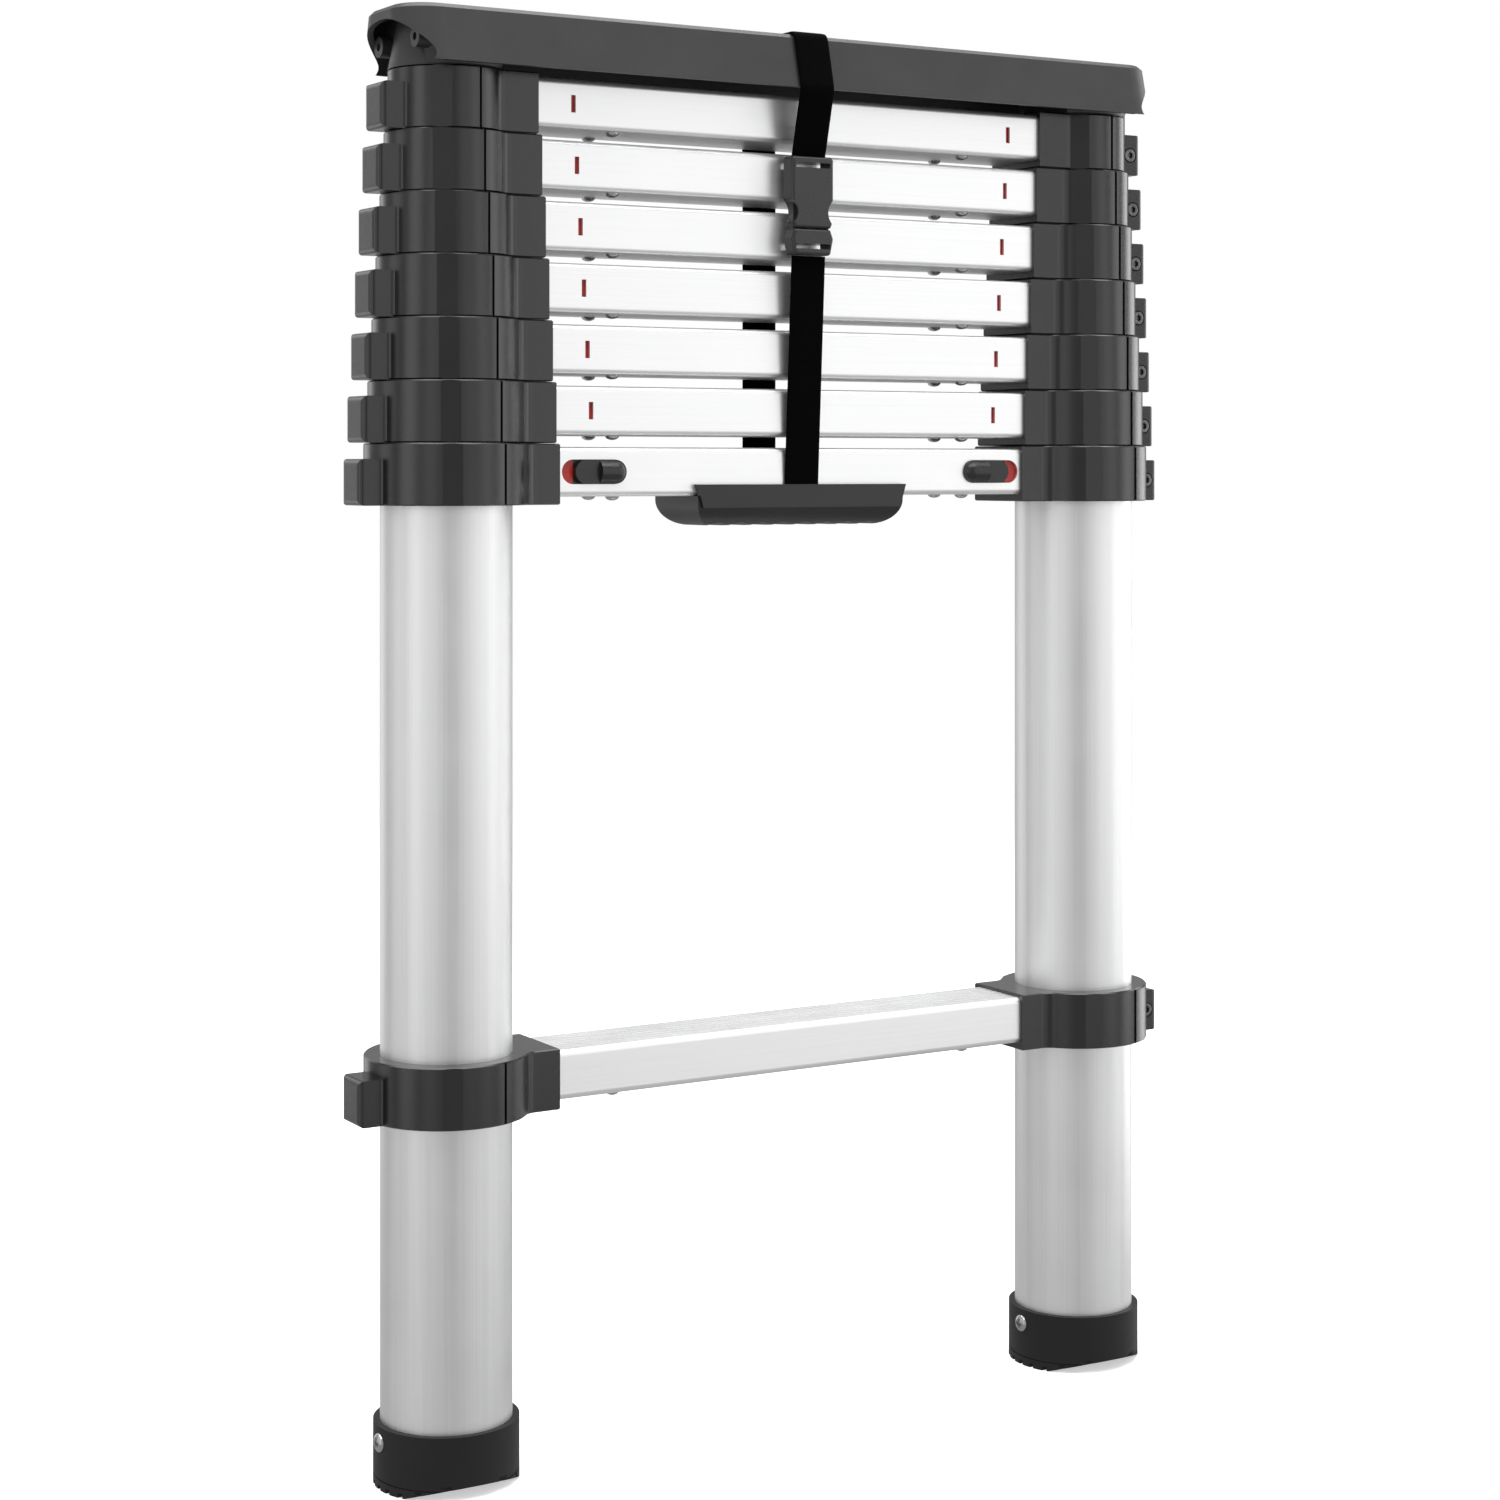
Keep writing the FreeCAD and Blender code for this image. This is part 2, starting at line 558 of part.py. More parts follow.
def cap_arch():
    """Half-elliptical cut through both end walls of the cap."""
    length = 2 * CAP_HALF_LENGTH + 2
    start = V(-length / 2, 0, CAP_SKIRT_Z)
    outline = Part.Ellipse(start + Y * CAP_ARCH_HALF_WIDTH, start + Z * CAP_ARCH_HEIGHT, start)
    low = Part.Face(Part.Wire([outline.toShape()])).extrude(X * length)
    inside = CAP_HALF_LENGTH - CAP_CORNER
    return low.cut(box(-inside, inside, -CAP_HALF_DEPTH, CAP_HALF_DEPTH, 0, CAP_TOP_Z))


def carry_handle():
    """Grip clipped under the second rung, with a flange up its front and back and a wavy underside."""
    rung_z = rung_bottom(2)
    top = rung_z - CONTACT_GAP
    bottom = rung_z - HANDLE_DROP
    half = HANDLE_LENGTH / 2
    grip = box(-half, half, -HANDLE_HALF_DEPTH, HANDLE_HALF_DEPTH, bottom, top)
    low_ends = edges_where(grip, lambda p: abs(abs(p.x) - half) < 0.01 and abs(p.z - bottom) < 0.01)
    grip = grip.makeFillet(HANDLE_CORNER, low_ends)
    for number in range(FINGER_GROOVES):
        x = (number - (FINGER_GROOVES - 1) / 2) * FINGER_GROOVE_PITCH
        centre_z = bottom + FINGER_GROOVE_DEPTH - FINGER_GROOVE_RADIUS
        groove = Part.makeCylinder(FINGER_GROOVE_RADIUS, 2 * HANDLE_HALF_DEPTH + 2,
                                   V(x, -HANDLE_HALF_DEPTH - 1, centre_z), Y)
        grip = grip.cut(groove)
    flange_half = HANDLE_FLANGE_LENGTH / 2
    low_half = flange_half - HANDLE_FLANGE_TAPER
    z0 = rung_z + HANDLE_FLANGE_BOTTOM
    z1 = rung_z + HANDLE_FLANGE_TOP
    inner_y = RUNG_DEPTH / 2 + CONTACT_GAP
    for side in SIDES.values():
        flange = prism([(-low_half, side * inner_y, z0), (low_half, side * inner_y, z0),
                        (flange_half, side * inner_y, z1), (-flange_half, side * inner_y, z1)],
                       V(0, side * HANDLE_FLANGE_THICKNESS, 0))
        grip = grip.fuse(flange)
    channel_half = WEBBING_WIDTH / 2 + CHANNEL_SIDE_GAP
    depth = WEBBING_THICKNESS + 2 * WEBBING_SLACK
    reach = inner_y - CONTACT_GAP + depth
    grip = grip.cut(box(-channel_half, channel_half, -reach, reach, rung_z - depth, z1 + 1))
    return grip.removeSplitter()


def strap_run():
    """Centre line of the webbing in the YZ plane, from the buckle's lower bar round to its upper bar."""
    bar_y = BUCKLE_BACK_Y - BUCKLE_THICKNESS / 2
    half = WEBBING_THICKNESS / 2
    off = half + WEBBING_SLACK
    face = RUNG_DEPTH / 2 + off
    under = rung_bottom(2) - off
    skirt = CAP_HALF_DEPTH + off
    slope = (CAP_HALF_DEPTH - CAP_TOP_HALF_DEPTH) / (CAP_TOP_Z - CAP_SKIRT_Z)
    top_half = CAP_TOP_HALF_DEPTH + off + slope * CAP_BEVEL
    over = CAP_TOP_Z + off
    shoulder = over - CAP_BEVEL
    top_flat = top_half - CAP_BEVEL
    flange_z = rung_bottom(2) + HANDLE_FLANGE_TOP + STRAP_CLEAR
    return [(bar_y, BUCKLE_BOTTOM_Z - WEBBING_SLACK), (-face, flange_z), (-face, under), (face, under),
            (face, rung_bottom(SECTIONS)), (skirt, CAP_SKIRT_Z), (top_half, shoulder),
            (top_flat, over), (-top_flat, over), (-top_half, shoulder), (-skirt, CAP_SKIRT_Z),
            (bar_y, BUCKLE_TOP_Z + WEBBING_SLACK)]


def strap_webbing():
    """Webbing band of one thickness along its run, with mitred folds."""
    run = [V(0, y, z) for y, z in strap_run()]
    half = WEBBING_THICKNESS / 2
    left = []
    right = []
    for number, point in enumerate(run):
        before = point - run[number - 1] if number else run[1] - run[0]
        after = run[number + 1] - point if number < len(run) - 1 else before
        before = before.normalize()
        after = V(after).normalize()
        normal = V(0, -(before.z + after.z), before.y + after.y).normalize()
        reach = half / math.sqrt((1 + before.dot(after)) / 2)
        left.append(point + normal * reach)
        right.append(point - normal * reach)
    outline = left + right[::-1]
    points = [(-WEBBING_WIDTH / 2, p.y, p.z) for p in outline]
    return prism(points, V(WEBBING_WIDTH, 0, 0))


def buckle_block(outline):
    """Rounded block with a symmetrical outline, given as half widths and heights from the bottom up."""
    y0 = BUCKLE_BACK_Y
    right = [(half, y0, z) for half, z in outline]
    left = [(-half, y0, z) for half, z in reversed(outline)]
    block = prism(right + left, V(0, -BUCKLE_THICKNESS, 0))
    return block.makeFillet(BUCKLE_ROUND, block.Edges)


def webbing_slot(z, direction):
    """Slot beside a buckle's end bar, which leaves room for the webbing around the bar."""
    half = WEBBING_WIDTH / 2 + WEBBING_SLACK
    start = z + direction * BUCKLE_BAR
    y0 = BUCKLE_BACK_Y
    return box(-half, half, y0 + 1, y0 - BUCKLE_THICKNESS - 1, start, start + direction * BUCKLE_SLOT_HEIGHT)


def prong_space(grow):
    """Space of the plug's two side prongs and its middle guide, above the split."""
    y = BUCKLE_BACK_Y - BUCKLE_THICKNESS / 2
    half_y = PRONG_THICKNESS / 2 + grow
    low = BUCKLE_SPLIT_Z - BUCKLE_ROUND
    high = BUCKLE_SPLIT_Z + PRONG_LENGTH + grow
    outer = PRONG_REACH + grow
    inner = PRONG_REACH - PRONG_WIDTH - grow
    guide = PRONG_WIDTH / 2 + grow
    return [box(x0, x1, y - half_y, y + half_y, low, high)
            for x0, x1 in ((-outer, -inner), (inner, outer), (-guide, guide))]


def buckle_plug():
    """Lower half of the buckle: a flared grip with a bar for the webbing, and prongs into the upper half."""
    block = buckle_block([(BUCKLE_NARROW, BUCKLE_BOTTOM_Z), (BUCKLE_HALF_WIDTH, BUCKLE_FLARE_Z),
                          (BUCKLE_NARROW, BUCKLE_SPLIT_Z)])
    block = block.fuse(prong_space(0.0)).removeSplitter()
    return block.cut(webbing_slot(BUCKLE_BOTTOM_Z, 1))


def buckle_socket():
    """Upper half of the buckle: a hollow body with side windows for the prongs."""
    block = buckle_block([(BUCKLE_NARROW, BUCKLE_SPLIT_Z + PRONG_GAP), (BUCKLE_HALF_WIDTH, BUCKLE_SPLIT_Z + BUCKLE_SHOULDER),
                          (BUCKLE_HALF_WIDTH, BUCKLE_TOP_Z)])
    block = block.cut(prong_space(PRONG_GAP))
    middle = BUCKLE_SPLIT_Z + PRONG_LENGTH / 2
    for side in SIDES.values():
        x = side * (BUCKLE_HALF_WIDTH - BUCKLE_SCOOP_DEPTH + BUCKLE_SCOOP_RADIUS)
        scoop = Part.makeCylinder(BUCKLE_SCOOP_RADIUS, BUCKLE_THICKNESS + 2, V(x, BUCKLE_BACK_Y + 1, middle), -Y)
        block = block.cut(scoop)
    return block.cut(webbing_slot(BUCKLE_TOP_Z, -1))


def save(name, solids):
    """Writes one node, which holds one solid or a group of separate ones."""
    shape = solids[0] if len(solids) == 1 else Part.makeCompound(solids)
    shape.exportStep("parts/" + name + ".step")


def main():
    os.makedirs("parts", exist_ok=True)
    for section in range(1, SECTIONS + 1):
        tube = stile_tube(section)
        save("stile_tubes_%d" % section, [placed(tube, side) for side in SIDES])
        if section > 1:
            bush = glide_bush(section)
            save("glide_bushes_%d" % section, [placed(bush, side) for side in SIDES])
    for level in range(1, SECTIONS + 1):
        save("rung_%d" % level, [rung(level)])
        moulding = collar(level)
        for side in SIDES:
            save("collar_%d_%s" % (level, side), [placed(moulding, side)])
        if level > 2:
            pin = lock_pin(level)
            for side in SIDES:
                save("lock_pin_%d_%s" % (level, side), [mirrored(pin, side)])
    button = thumb_button()
    rubber = foot().cut(foot_screw_hole(-1))
    for side in SIDES:
        save("thumb_button_%s" % side, [mirrored(button, side)])
        boot = rubber.copy()
        boot.translate(V(SIDES[side] * STILE_SPACING / 2, 0, 0))
        save("foot_%s" % side, [boot])
    save("top_cap", [top_cap()])
    save("carry_handle", [carry_handle()])
    save("strap_webbing", [strap_webbing()])
    save("buckle_plug", [buckle_plug()])
    save("buckle_socket", [buckle_socket()])


main()
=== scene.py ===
import math

import bpy
import numpy as np
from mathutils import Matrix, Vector


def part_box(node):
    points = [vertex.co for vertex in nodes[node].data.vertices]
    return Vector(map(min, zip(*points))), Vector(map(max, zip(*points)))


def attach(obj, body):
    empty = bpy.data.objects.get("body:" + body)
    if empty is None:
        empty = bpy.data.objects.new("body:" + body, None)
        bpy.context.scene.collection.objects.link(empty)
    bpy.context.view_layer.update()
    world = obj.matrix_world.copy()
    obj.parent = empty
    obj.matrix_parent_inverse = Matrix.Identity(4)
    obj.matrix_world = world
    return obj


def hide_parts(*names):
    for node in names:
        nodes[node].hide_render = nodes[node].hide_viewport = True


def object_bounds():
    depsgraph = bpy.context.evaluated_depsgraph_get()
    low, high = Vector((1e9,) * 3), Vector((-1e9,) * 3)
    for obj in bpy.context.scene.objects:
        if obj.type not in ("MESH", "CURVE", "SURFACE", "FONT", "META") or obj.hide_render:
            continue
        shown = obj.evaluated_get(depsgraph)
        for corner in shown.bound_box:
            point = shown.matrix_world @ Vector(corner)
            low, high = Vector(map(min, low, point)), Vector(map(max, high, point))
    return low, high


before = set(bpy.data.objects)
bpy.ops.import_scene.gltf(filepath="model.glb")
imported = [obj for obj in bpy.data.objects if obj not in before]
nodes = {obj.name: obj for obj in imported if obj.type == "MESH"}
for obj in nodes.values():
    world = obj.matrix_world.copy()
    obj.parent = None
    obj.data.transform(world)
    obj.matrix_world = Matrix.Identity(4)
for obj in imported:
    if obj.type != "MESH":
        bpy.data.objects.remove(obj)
cadLow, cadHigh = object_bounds()
scene = bpy.context.scene
levels = range(1, 9)
sides = {"left": -1, "right": 1}
mm = 0.001
print("frame loaded:", len(nodes), "CAD nodes")


# camera and light
# a level camera, so that the uprights stay parallel; the shift brings the whole ladder into view
cameraLook = {"place": (-0.7827, -1.2861, 0.4921), "turn": -30.729, "lens": 69.27, "shiftY": -0.1881,
              "sensor": 36, "clip": (0.05, 60)}
lightLook = {  # softboxes round the object, by azimuth: brightness of each
    "distance": 2.3, "height": 0.75, "aimHeight": 0.6, "width": 0.9, "tall": 2.2,
    "bright": {-165: 0.79, -115: 0.56, -80: 0.97, -50: 0.54, 5: 0.46, 30: 0.84, 60: 1.38, 95: 2.64},
    "overhead": {"height": 5.2, "aimHeight": 0.38, "size": 6.95, "bright": 3.45},  # above the open ladder
}
worldLook = {"seen": 1.0, "fill": 0.44}  # brightness of the backdrop, and of the light that it gives


def makeCamera():
    data = bpy.data.cameras.new("frontCamera")
    data.sensor_width = cameraLook["sensor"]
    data.lens = cameraLook["lens"]
    data.shift_y = cameraLook["shiftY"]
    data.clip_start, data.clip_end = cameraLook["clip"]
    camera = bpy.data.objects.new("frontCamera", data)
    camera.location = cameraLook["place"]
    camera.rotation_euler = (math.radians(90), 0, math.radians(cameraLook["turn"]))
    scene.collection.objects.link(camera)
    scene.camera = camera


# a softbox whose power grows with its area, so that "bright" is the brightness of its face
def softBox(name, place, aim, width, tall, bright):
    data = bpy.data.lights.new(name, "AREA")
    data.shape = "RECTANGLE"
    data.size, data.size_y = width, tall
    data.energy = bright * math.pi * width * tall
    light = bpy.data.objects.new(name, data)
    light.location = place
    light.rotation_euler = (Vector(aim) - Vector(place)).to_track_quat("-Z", "Y").to_euler()
    light.visible_camera = False
    scene.collection.objects.link(light)


def makeLights():
    distance, aim = lightLook["distance"], (0, 0, lightLook["aimHeight"])
    for azimuth, bright in lightLook["bright"].items():  # azimuth 0 is in front, and grows to the right
        turn = math.radians(azimuth)
        place = (distance * math.sin(turn), -distance * math.cos(turn), lightLook["height"])
        softBox(f"softBox{azimuth}", place, aim, lightLook["width"], lightLook["tall"], bright)
    over = lightLook["overhead"]
    softBox("overhead", (0, 0, over["height"]), (0, 0, over["aimHeight"]), over["size"], over["size"],
            over["bright"])


# the camera sees a white backdrop, and the object is lit by a dimmer one
def makeWorld():
    world = bpy.data.worlds.new("studio")
    scene.world = world
    world.use_nodes = True
    tree = world.node_tree
    tree.nodes.clear()
    out = tree.nodes.new("ShaderNodeOutputWorld")
    mix = tree.nodes.new("ShaderNodeMixShader")
    fill = tree.nodes.new("ShaderNodeBackground")
    seen = tree.nodes.new("ShaderNodeBackground")
    path = tree.nodes.new("ShaderNodeLightPath")
    fill.inputs["Strength"].default_value = worldLook["fill"]
    seen.inputs["Strength"].default_value = worldLook["seen"]
    for shade in (fill, seen):
        shade.inputs["Color"].default_value = (1, 1, 1, 1)
    tree.links.new(path.outputs["Is Camera Ray"], mix.inputs[0])
    tree.links.new(fill.outputs[0], mix.inputs[1])
    tree.links.new(seen.outputs[0], mix.inputs[2])
    tree.links.new(mix.outputs[0], out.inputs["Surface"])


makeCamera()
makeLights()
makeWorld()
scene.view_settings.view_transform = "Standard"
print("camera, lights and world made")


# material helpers
def startMaterial(name):
    mat = bpy.data.materials.new(name)
    mat.use_nodes = True
    tree = mat.node_tree
    tree.nodes.clear()
    out = tree.nodes.new("ShaderNodeOutputMaterial")
    shader = tree.nodes.new("ShaderNodeBsdfPrincipled")
    tree.links.new(shader.outputs[0], out.inputs["Surface"])
    return mat, tree, shader


def patternCoords(tree, scale=(1, 1, 1), source="Object"):
    coords = tree.nodes.new("ShaderNodeTexCoord")
    mapping = tree.nodes.new("ShaderNodeMapping")
    mapping.inputs["Scale"].default_value = scale
    tree.links.new(coords.outputs[source], mapping.inputs["Vector"])
    return mapping.outputs["Vector"]


def link(tree, value, shader, socket):
    tree.links.new(value, shader.inputs[socket])


def noise(tree, vector, scale, detail=3.0, rough=0.55):
    node = tree.nodes.new("ShaderNodeTexNoise")
    node.inputs["Scale"].default_value = scale
    node.inputs["Detail"].default_value = detail
    node.inputs["Roughness"].default_value = rough
    tree.links.new(vector, node.inputs["Vector"])
    return node.outputs["Fac"]


# stretches the useful middle of a noise over a wanted range
def spread(tree, value, low, high, fromLow=0.3, fromHigh=0.7):
    node = tree.nodes.new("ShaderNodeMapRange")
    node.inputs["From Min"].default_value = fromLow
    node.inputs["From Max"].default_value = fromHigh
    node.inputs["To Min"].default_value = low
    node.inputs["To Max"].default_value = high
    tree.links.new(value, node.inputs["Value"])
    return node.outputs["Result"]


def blendColours(tree, value, dark, light):
    node = tree.nodes.new("ShaderNodeMix")
    node.data_type = "RGBA"
    node.inputs["A"].default_value = (*dark, 1)
    node.inputs["B"].default_value = (*light, 1)
    tree.links.new(value, node.inputs["Factor"])
    return node.outputs["Result"]


# weighted sum of two values, whose weights add up to one
def weigh(tree, first, second, share):
    return maths(tree, "MULTIPLY_ADD", first, share, maths(tree, "MULTIPLY", second, 1 - share))


def maths(tree, operation, first, second=None, third=None):
    node = tree.nodes.new("ShaderNodeMath")
    node.operation = operation
    for socket, value in zip(node.inputs, (first, second, third)):
        if value is None:
            continue
        if isinstance(value, (int, float)):
            socket.default_value = value
        else:
            tree.links.new(value, socket)
    return node.outputs[0]


def addBump(tree, shader, height, distance):
    bump = tree.nodes.new("ShaderNodeBump")
    bump.inputs["Distance"].default_value = distance
    tree.links.new(height, bump.inputs["Height"])
    tree.links.new(bump.outputs["Normal"], shader.inputs["Normal"])


# how many times each pattern repeats in a metre
patternScale = {"clouds": 26, "grit": 2600, "patches": 34, "lockPatches": 160, "lockGrain": 1800,
                "fuzz": 1400}


# drawn and anodised aluminium: fine die lines along the extrusion, and a cloudy satin
def anodised(name, look):
    mat, tree, shader = startMaterial(name)
    lines = noise(tree, patternCoords(tree, look["lineScale"]), 1.0, 2.0)
    clouds = noise(tree, patternCoords(tree), patternScale["clouds"], 4.0)
    grit = noise(tree, patternCoords(tree), patternScale["grit"], 2.0)
    tone = spread(tree, weigh(tree, lines, clouds, 0.6), 0, 1)
    link(tree, blendColours(tree, tone, look["dark"], look["light"]), shader, "Base Color")
    rough = weigh(tree, lines, clouds, 0.5)
    link(tree, spread(tree, rough, look["roughLow"], look["roughHigh"]), shader, "Roughness")
    shader.inputs["Metallic"].default_value = look["metallic"]
    height = maths(tree, "MULTIPLY_ADD", grit, 0.5, lines)
    addBump(tree, shader, height, look["bump"])
    return mat


# moulded plastic and rubber: spark-eroded grain, with slow changes in tone and gloss
def moulded(name, look):
    mat, tree, shader = startMaterial(name)
    coords = patternCoords(tree)
    grain = noise(tree, coords, look["grainScale"], 3.0, 0.7)
    patches = noise(tree, coords, patternScale["patches"], 4.0)
    tone = spread(tree, patches, 0, 1)
    link(tree, blendColours(tree, tone, look["dark"], look["light"]), shader, "Base Color")
    gloss = weigh(tree, grain, patches, 0.4)
    link(tree, spread(tree, gloss, look["roughLow"], look["roughHigh"]), shader, "Roughness")
    shader.inputs["Specular IOR Level"].default_value = look["specular"]
    addBump(tree, shader, grain, look["bump"])
    return mat


metalLooks = {
    "tubeAluminium": {"lineScale": (900, 900, 5), "dark": (0.76, 0.762, 0.765), "light": (0.83, 0.832, 0.835),
                      "roughLow": 0.38, "roughHigh": 0.48, "metallic": 1.0, "bump": 0.00002},
    "rungAluminium": {"lineScale": (5, 900, 900), "dark": (0.90, 0.902, 0.905), "light": (0.95, 0.952, 0.955),
                      "roughLow": 0.34, "roughHigh": 0.45, "metallic": 0.9, "bump": 0.00002},
    "screwSteel": {"lineScale": (300, 300, 300), "dark": (0.40, 0.40, 0.41), "light": (0.55, 0.55, 0.56),
                   "roughLow": 0.22, "roughHigh": 0.34, "metallic": 1.0, "bump": 0.00003},
    "blackSteel": {"lineScale": (300, 300, 300), "dark": (0.10, 0.10, 0.10), "light": (0.17, 0.17, 0.17),
                   "roughLow": 0.2, "roughHigh": 0.3, "metallic": 1.0, "bump": 0.00003},
}
plasticLooks = {
    "collarNylon": {"dark": (0.004, 0.004, 0.004), "light": (0.007, 0.007, 0.007), "roughLow": 0.12,
                    "roughHigh": 0.2, "specular": 0.7, "grainScale": 2200, "bump": 0.00005},
    # the cap's tone is lighter than the collars' nylon: this lighter tone is painted sheen, standing in for
    # the light from above that the cap's upward-tilted face catches
    "capNylonPaintedSheen": {"dark": (0.021, 0.021, 0.021), "light": (0.027, 0.027, 0.027), "roughLow": 0.38,
                 "roughHigh": 0.48, "specular": 0.55, "grainScale": 2200, "bump": 0.00006},
    "handleNylon": {"dark": (0.010, 0.010, 0.010), "light": (0.014, 0.014, 0.014), "roughLow": 0.34,
                    "roughHigh": 0.44, "specular": 0.5, "grainScale": 1800, "bump": 0.00006},
    "footRubber": {"dark": (0.006, 0.006, 0.006), "light": (0.009, 0.009, 0.009), "roughLow": 0.5,
                   "roughHigh": 0.64, "specular": 0.35, "grainScale": 1500, "bump": 0.00009},
    "bushNylon": {"dark": (0.30, 0.30, 0.29), "light": (0.36, 0.36, 0.35), "roughLow": 0.45,
                  "roughHigh": 0.55, "specular": 0.5, "grainScale": 1800, "bump": 0.00004},
    "buckleAcetal": {"dark": (0.018, 0.018, 0.018), "light": (0.024, 0.024, 0.024), "roughLow": 0.24,
                     "roughHigh": 0.33, "specular": 0.5, "grainScale": 1800, "bump": 0.00002},
}
finishes = {name: anodised(name, look) for name, look in metalLooks.items()}
finishes.update({name: moulded(name, look) for name, look in plasticLooks.items()})


# lock bodies: red only where the indicator face shows, told by the distance from the middle of the ladder
lockLook = {"red": (0.50, 0.022, 0.014), "shade": 0.8, "black": (0.014, 0.014, 0.014), "roughLow": 0.26,
            "roughHigh": 0.36, "bump": 0.00003,
            "windowInset": 20 * mm,  # middle of a window from the mouth of its rung socket
            "indicatorHalf": 3 * mm, "buttonRedFrom": 28.45 * mm, "buttonRedLength": 11 * mm}


def lockMaterial(name, redFrom, redTo):
    mat, tree, shader = startMaterial(name)
    split = tree.nodes.new("ShaderNodeSeparateXYZ")
    tree.links.new(patternCoords(tree), split.inputs[0])
    reach = maths(tree, "ABSOLUTE", split.outputs["X"])
    past = maths(tree, "GREATER_THAN", reach, redFrom)
    short = maths(tree, "LESS_THAN", reach, redTo)
    inside = maths(tree, "MULTIPLY", past, short)
    patches = noise(tree, patternCoords(tree), patternScale["lockPatches"])
    darkRed = [lockLook["shade"] * c for c in lockLook["red"]]
    red = blendColours(tree, spread(tree, patches, 0, 1), darkRed, lockLook["red"])
    mix = tree.nodes.new("ShaderNodeMix")
    mix.data_type = "RGBA"
    mix.inputs["A"].default_value = (*lockLook["black"], 1)
    tree.links.new(inside, mix.inputs["Factor"])
    tree.links.new(red, mix.inputs["B"])
    link(tree, mix.outputs["Result"], shader, "Base Color")
    link(tree, spread(tree, patches, lockLook["roughLow"], lockLook["roughHigh"]), shader, "Roughness")
    addBump(tree, shader, noise(tree, patternCoords(tree), patternScale["lockGrain"]), lockLook["bump"])
    return mat


def dress(node, finish):
    slots = nodes[node].data.materials
    slots.clear()
    slots.append(finishes[finish])


for level in range(3, 9):
    finish = f"lockBody{level}"
    centre = -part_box(f"collar_{level}_left")[1].x - lockLook["windowInset"]
    half = lockLook["indicatorHalf"]
    finishes[finish] = lockMaterial(finish, centre - half, centre + half)
    for side in sides:
        dress(f"lock_pin_{level}_{side}", finish)
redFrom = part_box("thumb_button_right")[0].x + lockLook["buttonRedFrom"]
finishes["thumbButton"] = lockMaterial("thumbButton", redFrom, redFrom + lockLook["buttonRedLength"])

nodeFinishes = {"stile_tubes": "tubeAluminium", "rung": "rungAluminium", "collar": "collarNylon",
                "glide_bushes": "bushNylon", "foot": "footRubber", "top_cap": "capNylonPaintedSheen",
                "carry_handle": "handleNylon", "buckle": "buckleAcetal", "thumb_button": "thumbButton"}
for node in nodes:
    for start, finish in nodeFinishes.items():
        if node.startswith(start):
            dress(node, finish)
print("materials made:", len(bpy.data.materials))


# a new piece from points and faces, smooth except at edges sharper than the given angle in degrees
def addPiece(name, points, faces, finish, body, smoothBelow=35):
    mesh = bpy.data.meshes.new(name)
    mesh.from_pydata(np.asarray(points).tolist(), [], faces)
    mesh.materials.append(finishes[finish])
    mesh.validate()
    mesh.shade_smooth()
    mesh.set_sharp_from_angle(angle=math.radians(smoothBelow))
    piece = bpy.data.objects.new(name, mesh)
    scene.collection.objects.link(piece)
    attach(piece, body)
    return piece


# faces of a tube of points: four-sided between rows, closed round each row, and one face over each end
def tubeFaces(rows, around):
    row, col = np.meshgrid(np.arange(rows - 1), np.arange(around), indexing="ij")
    here = row * around + col
    beside = row * around + (col + 1) % around
    quads = np.stack([here, beside, beside + around, here + around], -1).reshape(-1, 4)
    start = list(range(around))[::-1]
    end = [(rows - 1) * around + i for i in range(around)]
    return quads.tolist() + [start, end]


# lathe: the profile gives radius and height, and each point goes round the axis at that radius;
# rows marked as six-sided have their radius cut down to the flats of a hexagon at each angle
def lathe(profile, around, sixSided=None):
    radius, height = np.asarray(profile, float).T
    angle = np.linspace(0, 2 * np.pi, around, endpoint=False)
    ringRadius = np.repeat(radius[:, None], around, 1)
    if sixSided is not None:
        flats = np.cos(np.pi / 6) / np.cos((angle + np.pi / 6) % (np.pi / 3) - np.pi / 6)
        ringRadius = np.where(np.asarray(sixSided)[:, None], ringRadius * flats, ringRadius)
    ringHeight = np.repeat(height[:, None], around, 1)
    grid = np.stack([ringRadius * np.cos(angle), ringRadius * np.sin(angle), ringHeight], -1)
    return grid.reshape(-1, 3)


# turns points whose axis is upwards to a new axis
def turnTo(points, axis):
    spin = np.array(Vector((0, 0, 1)).rotation_difference(Vector(axis)).to_matrix())
    return points @ spin.T


# several sets of points and faces as one
def gather(parts):
    points, faces, count = [], [], 0
    for partPoints, partFaces in parts:
        points.append(partPoints)
        faces.extend([[i + count for i in face] for face in partFaces])
        count += len(partPoints)
    return np.concatenate(points), faces


# rivets under the rungs: a dome, its height a quarter ellipse of its radius
rivetLook = {"x": 105.9 * mm, "y": 12.75 * mm, "radius": 3.6 * mm, "height": 2.1 * mm, "pole": 0.02,
             "around": 20, "rows": 7}


def rivetPart(place):
    rows, around = rivetLook["rows"], rivetLook["around"]
    turn = np.linspace(0, np.pi / 2, rows)
    profile = np.stack([rivetLook["radius"] * np.cos(turn), rivetLook["height"] * np.sin(turn)], 1)
    profile[-1, 0] = rivetLook["pole"] * rivetLook["radius"]
    points = turnTo(lathe(profile, around), (0, 0, -1)) + np.array(place)
    return points, tubeFaces(rows, around)


sectionOf = {level: f"section_{max(level - 1, 1)}" for level in levels}
for level in levels:
    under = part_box(f"rung_{level}")[0].z
    spots = [(x * rivetLook["x"], y * rivetLook["y"], under) for x in (-1, 1) for y in (-1, 1)]
    points, faces = gather([rivetPart(spot) for spot in spots])
    addPiece(f"rung_rivets_{level}", points, faces, "screwSteel", sectionOf[level])
print("rivets made")


